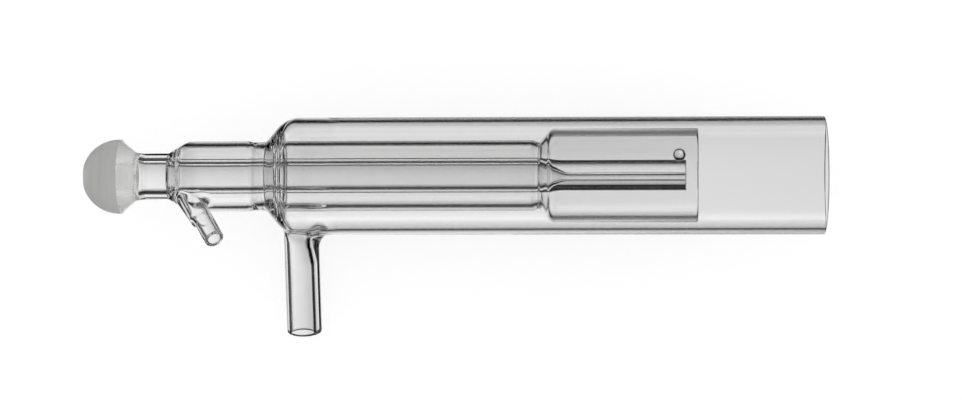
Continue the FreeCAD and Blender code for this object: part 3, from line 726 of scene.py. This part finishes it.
def ground_glass(look):
    """Ground quartz: mostly matt, with faint rings from the grinding."""
    material, nodes, links, output = new_material("ground_quartz")
    shader = nodes.new("ShaderNodeBsdfPrincipled")
    shader.inputs["Roughness"].default_value = look.ground
    shader.inputs["IOR"].default_value = look.index
    shader.inputs["Transmission Weight"].default_value = look.ground_through
    where = nodes.new("ShaderNodeTexCoord")
    stretch = nodes.new("ShaderNodeMapping")
    across = look.ring_change / MM
    stretch.inputs["Scale"].default_value = (1 / MM, across, across)
    links.new(where.outputs["Object"], stretch.inputs["Vector"])
    rings = nodes.new("ShaderNodeTexNoise")
    rings.inputs["Scale"].default_value = look.rings
    rings.inputs["Detail"].default_value = 3.0
    links.new(stretch.outputs[0], rings.inputs["Vector"])
    shade = nodes.new("ShaderNodeValToRGB")
    stops = ((0.3, look.ring_dark), (0.7, look.ring_light))
    for element, (place, level) in zip(shade.color_ramp.elements, stops):
        element.position = place
        element.color = (*[part * level for part in look.ground_tint], 1)
    links.new(rings.outputs[0], shade.inputs["Fac"])
    links.new(shade.outputs["Color"], shader.inputs["Base Color"])
    links.new(shader.outputs[0], output.inputs["Surface"])
    return material


def mark_ground(body, inlet, at):
    """Gives the ground face of the ball the second material."""
    centre = Vector((-at.ball, 0, 0))
    close = 0.02 * MM
    for face in body.data.polygons:
        if abs((face.center - centre).length - inlet.ball / 2) < close:
            face.material_index = 1


def fused_body(tubes, inlet, arms, mesh, at):
    """The whole torch as one closed mesh, with its axis level and its arms not yet turned down."""
    outside = shell_outside(tubes, inlet, at)
    loop = outside + ball_face(inlet, at, mesh.turn) + injector_inside(inlet, at)
    loop += injector_outside(inlet, at) + middle_inside(tubes, at)
    loop += middle_outside(tubes, at) + outer_inside(tubes, at)
    points = bent(loop, mesh.turn, closed=True)
    for place, behind, ahead, gap in (
        (at.closure, mesh.aux_behind, mesh.aux_ahead, mesh.aux_gap),
        (at.plasma, mesh.plasma_behind, mesh.plasma_ahead, mesh.plasma_gap),
    ):
        points = finer(points, -place - behind, -place + ahead, gap)
    body = turned("torch_glass", points, mesh.around)
    shift_bores(body, tubes, inlet, at)

    skin = bent(outside, mesh.turn)
    lining = bent([(-at.seal_face, tubes.middle / 2, 0)] + outer_inside(tubes, at), mesh.turn)
    plasma_arm(body, arms, tubes, at, skin, lining, mesh)
    lining = bent([(-at.closure_face, inlet.stem / 2, 0)] + middle_inside(tubes, at), mesh.turn)
    auxiliary_arm(body, arms, tubes, at, skin, lining, mesh)
    small_bead(body, inlet, mesh)
    return body


class TORCH_OT_glass(bpy.types.Operator):
    """Makes the torch as one closed mesh of fused quartz"""

    bl_idname = "torch.glass"
    bl_label = "Make the torch"

    def execute(self, context):
        scene = context.scene
        tubes = scene.torch_tubes
        inlet = scene.torch_inlet
        arms = scene.torch_arms
        mesh = scene.torch_mesh
        look = scene.torch_look
        at = places(tubes, inlet, arms)
        body = fused_body(tubes, inlet, arms, mesh, at)
        body.data.materials.append(clear_glass(look))
        body.data.materials.append(ground_glass(look))
        for face in body.data.polygons:
            face.use_smooth = True
        body.data.set_sharp_from_angle(angle=mesh.corner)
        mark_ground(body, inlet, at)
        body.data.transform(Matrix.Rotation(at.lay, 4, "X"))
        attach(body, "root")
        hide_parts("torch")
        return {"FINISHED"}


# Light through clear glass by direction, as (degrees from straight down, level), across the torch and
# along it. The two are multiplied. It is bright below, dark in a ring round that, which draws the
# edges of the glass, and bright again towards the sides.
TOWARDS_Y = [
    (-180, 0.02), (-93, 0.05), (-88, 0.8), (-75, 0.8), (-68, 0.0), (-37, 0.0), (-34, 0.1), (-30, 0.4),
    (-25, 0.62), (-20, 0.78), (-16, 0.86), (-8, 0.85), (0, 0.8), (6, 0.7), (12, 0.62), (17, 0.58), (21, 0.5),
    (25, 0.0), (57, 0.0), (62, 0.6), (67, 1.3), (80, 1.0), (88, 0.8), (93, 0.05), (180, 0.02),
]
TOWARDS_X = [
    (-180, 1.0), (-75, 1.0), (-68, 0.0), (-37, 0.0), (-27, 1.15), (-10, 1.15), (0, 1.0), (10, 0.85),
    (27, 0.8), (37, 0.0), (68, 0.0), (75, 1.0), (180, 1.0),
]
# Level that a ramp draws as white
BRIGHTEST = 2.0
# Light all round, as (degrees from straight down, level): a band just below the horizon
ALL_ROUND = [(0, 0.0), (69, 0.0), (75, 0.85), (88, 0.85), (93, 0.0), (180, 0.0)]


def level_of(tree, angle, stops, unit):
    """A grey that follows stops of (degrees, level) over an angle; unit is the level of white."""
    low = stops[0][0]
    high = stops[-1][0]
    spread = tree.nodes.new("ShaderNodeMapRange")
    spread.inputs["From Min"].default_value = math.radians(low)
    spread.inputs["From Max"].default_value = math.radians(high)
    tree.links.new(angle, spread.inputs["Value"])
    ramp = tree.nodes.new("ShaderNodeValToRGB")
    tree.links.new(spread.outputs["Result"], ramp.inputs["Fac"])
    elements = ramp.color_ramp.elements
    elements.remove(elements[0])
    for number, (degrees, level) in enumerate(stops):
        place = (degrees - low) / (high - low)
        element = elements.new(place) if number else elements[0]
        element.position = place
        element.color = (level / unit, level / unit, level / unit, 1)
    return ramp.outputs["Color"]


def angle_of(tree, operation, *parts):
    """An angle from the parts of a direction."""
    angle = tree.nodes.new("ShaderNodeMath")
    angle.operation = operation
    for number, part in enumerate(parts):
        tree.links.new(part, angle.inputs[number])
    return angle.outputs[0]


def blend(tree, kind, one, other):
    """Two greys multiplied, or the lighter of the two."""
    mix = tree.nodes.new("ShaderNodeMix")
    mix.data_type = "RGBA"
    mix.blend_type = kind
    factor, first, second = (mix.inputs[number] for number in (0, 6, 7))
    factor.default_value = 1
    tree.links.new(one, first)
    tree.links.new(other, second)
    return mix.outputs[2]


def rays_of_glass(tree):
    """The light path node, and whether a ray comes from clear glass: reflected or let through sharply."""
    path = tree.nodes.new("ShaderNodeLightPath")
    either = tree.nodes.new("ShaderNodeMath")
    either.operation = "MAXIMUM"
    tree.links.new(path.outputs["Is Glossy Ray"], either.inputs[0])
    tree.links.new(path.outputs["Is Transmission Ray"], either.inputs[1])
    sharp = tree.nodes.new("ShaderNodeMath")
    sharp.operation = "MULTIPLY"
    tree.links.new(either.outputs[0], sharp.inputs[0])
    tree.links.new(path.outputs["Is Singular Ray"], sharp.inputs[1])
    return path, sharp.outputs[0]


def studio(scene, stage):
    """Soft studio light that depends on the direction across the torch, on a white background."""
    world = bpy.data.worlds.new("studio")
    world.use_nodes = True
    scene.world = world
    tree = world.node_tree
    nodes = tree.nodes
    links = tree.links
    nodes.clear()
    output = nodes.new("ShaderNodeOutputWorld")
    where = nodes.new("ShaderNodeTexCoord")
    split = nodes.new("ShaderNodeSeparateXYZ")
    links.new(where.outputs["Generated"], split.inputs[0])
    down = nodes.new("ShaderNodeMath")
    down.operation = "MULTIPLY"
    down.inputs[1].default_value = -1
    links.new(split.outputs["Z"], down.inputs[0])
    sideways = angle_of(tree, "ARCTAN2", split.outputs["Y"], down.outputs[0])
    along = angle_of(tree, "ARCTAN2", split.outputs["X"], down.outputs[0])
    from_down = angle_of(tree, "ARCCOSINE", down.outputs[0])
    ring = blend(
        tree,
        "MULTIPLY",
        level_of(tree, sideways, TOWARDS_Y, BRIGHTEST),
        level_of(tree, along, TOWARDS_X, BRIGHTEST),
    )
    band = level_of(tree, from_down, ALL_ROUND, BRIGHTEST * BRIGHTEST)
    through = nodes.new("ShaderNodeBackground")
    through.inputs["Strength"].default_value = BRIGHTEST * BRIGHTEST
    links.new(blend(tree, "LIGHTEN", ring, band), through.inputs["Color"])
    plain = nodes.new("ShaderNodeBackground")
    plain.inputs["Color"].default_value = (*[stage.plain_light] * 3, 1)
    seen = nodes.new("ShaderNodeBackground")
    seen.inputs["Color"].default_value = (1, 1, 1, 1)
    path, in_glass = rays_of_glass(tree)
    first = nodes.new("ShaderNodeMixShader")
    links.new(in_glass, first.inputs["Fac"])
    links.new(plain.outputs[0], first.inputs[1])
    links.new(through.outputs[0], first.inputs[2])
    second = nodes.new("ShaderNodeMixShader")
    links.new(path.outputs["Is Camera Ray"], second.inputs["Fac"])
    links.new(first.outputs[0], second.inputs[1])
    links.new(seen.outputs[0], second.inputs[2])
    links.new(second.outputs[0], output.inputs["Surface"])


def white_floor(stage, level):
    """A plain white floor with the torch's shadow, clear for rays that come through the glass."""
    bm = bmesh.new()
    bmesh.ops.create_grid(bm, x_segments=1, y_segments=1, size=stage.floor / 2)
    floor = mesh_of("floor", bm, Matrix.Translation((0, 0, level)))
    if floor.data.polygons[0].normal.z < 0:
        floor.data.flip_normals()
    material, nodes, links, output = new_material("white_floor")
    matt = nodes.new("ShaderNodeBsdfDiffuse")
    matt.inputs["Color"].default_value = (*[stage.floor_paint] * 3, 1)
    glow = nodes.new("ShaderNodeEmission")
    glow.inputs["Strength"].default_value = stage.floor_glow
    both = nodes.new("ShaderNodeAddShader")
    links.new(matt.outputs[0], both.inputs[0])
    links.new(glow.outputs[0], both.inputs[1])
    clear = nodes.new("ShaderNodeBsdfTransparent")
    mix = nodes.new("ShaderNodeMixShader")
    links.new(rays_of_glass(material.node_tree)[1], mix.inputs["Fac"])
    links.new(both.outputs[0], mix.inputs[1])
    links.new(clear.outputs[0], mix.inputs[2])
    links.new(mix.outputs[0], output.inputs["Surface"])
    floor.data.materials.append(material)


def add_camera(scene, stage):
    """The camera, nearly straight above, looking a little towards the inlet."""
    data = bpy.data.cameras.new("camera")
    data.lens = stage.lens
    data.sensor_width = stage.film
    data.clip_start = 10 * MM
    camera = bpy.data.objects.new("camera", data)
    scene.collection.objects.link(camera)
    towards = Vector((math.sin(stage.tilt), 0, math.cos(stage.tilt)))
    camera.location = Vector(stage.aim) + towards * stage.distance
    turn = Matrix.Rotation(stage.tilt, 3, "Y") @ Matrix.Rotation(stage.roll, 3, "Z")
    camera.rotation_euler = turn.to_euler()
    scene.camera = camera


class TORCH_OT_stage(bpy.types.Operator):
    """Sets up the floor, the light and the camera"""

    bl_idname = "torch.stage"
    bl_label = "Set the stage"

    def execute(self, context):
        scene = context.scene
        stage = scene.torch_stage
        studio(scene, stage)
        white_floor(stage, -scene.torch_tubes.outer / 2 - stage.floor_gap)
        add_camera(scene, stage)
        scene.view_settings.view_transform = "Standard"
        scene.cycles.max_bounces = stage.bounces
        scene.cycles.transmission_bounces = stage.bounces
        scene.cycles.glossy_bounces = stage.mirrored
        return {"FINISHED"}


class TORCH_PT_panel(bpy.types.Panel):
    """The sizes of the torch and the two steps that make it"""

    bl_idname = "TORCH_PT_panel"
    bl_label = "Quartz Torch"
    bl_space_type = "VIEW_3D"
    bl_region_type = "UI"
    bl_category = "Torch"

    def draw(self, context):
        for title, name in GROUPS:
            box = self.layout.box()
            box.label(text=title)
            group = getattr(context.scene, name)
            for key in group.__annotations__:
                box.prop(group, key)
        self.layout.operator(TORCH_OT_glass.bl_idname)
        self.layout.operator(TORCH_OT_stage.bl_idname)


GROUPS = [
    ("Tubes", "torch_tubes"),
    ("Inlet and injector", "torch_inlet"),
    ("Arms", "torch_arms"),
    ("Mesh", "torch_mesh"),
    ("Look", "torch_look"),
    ("Stage", "torch_stage"),
]
KINDS = [TorchTubes, TorchInlet, TorchArms, TorchMesh, TorchLook, TorchStage]
CLASSES = KINDS + [TORCH_OT_glass, TORCH_OT_stage, TORCH_PT_panel]


def register():
    """Makes the panel, the two steps and their settings known."""
    for kind in CLASSES:
        bpy.utils.register_class(kind)
    for kind, (_, name) in zip(KINDS, GROUPS):
        setattr(bpy.types.Scene, name, PointerProperty(type=kind))


def unregister():
    """Takes the settings, the steps and the panel away again."""
    for _, name in GROUPS:
        delattr(bpy.types.Scene, name)
    for kind in reversed(CLASSES):
        bpy.utils.unregister_class(kind)


def main():
    """Makes the torch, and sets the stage."""
    register()
    bpy.ops.torch.glass()
    bpy.ops.torch.stage()


if __name__ == "__main__":
    main()
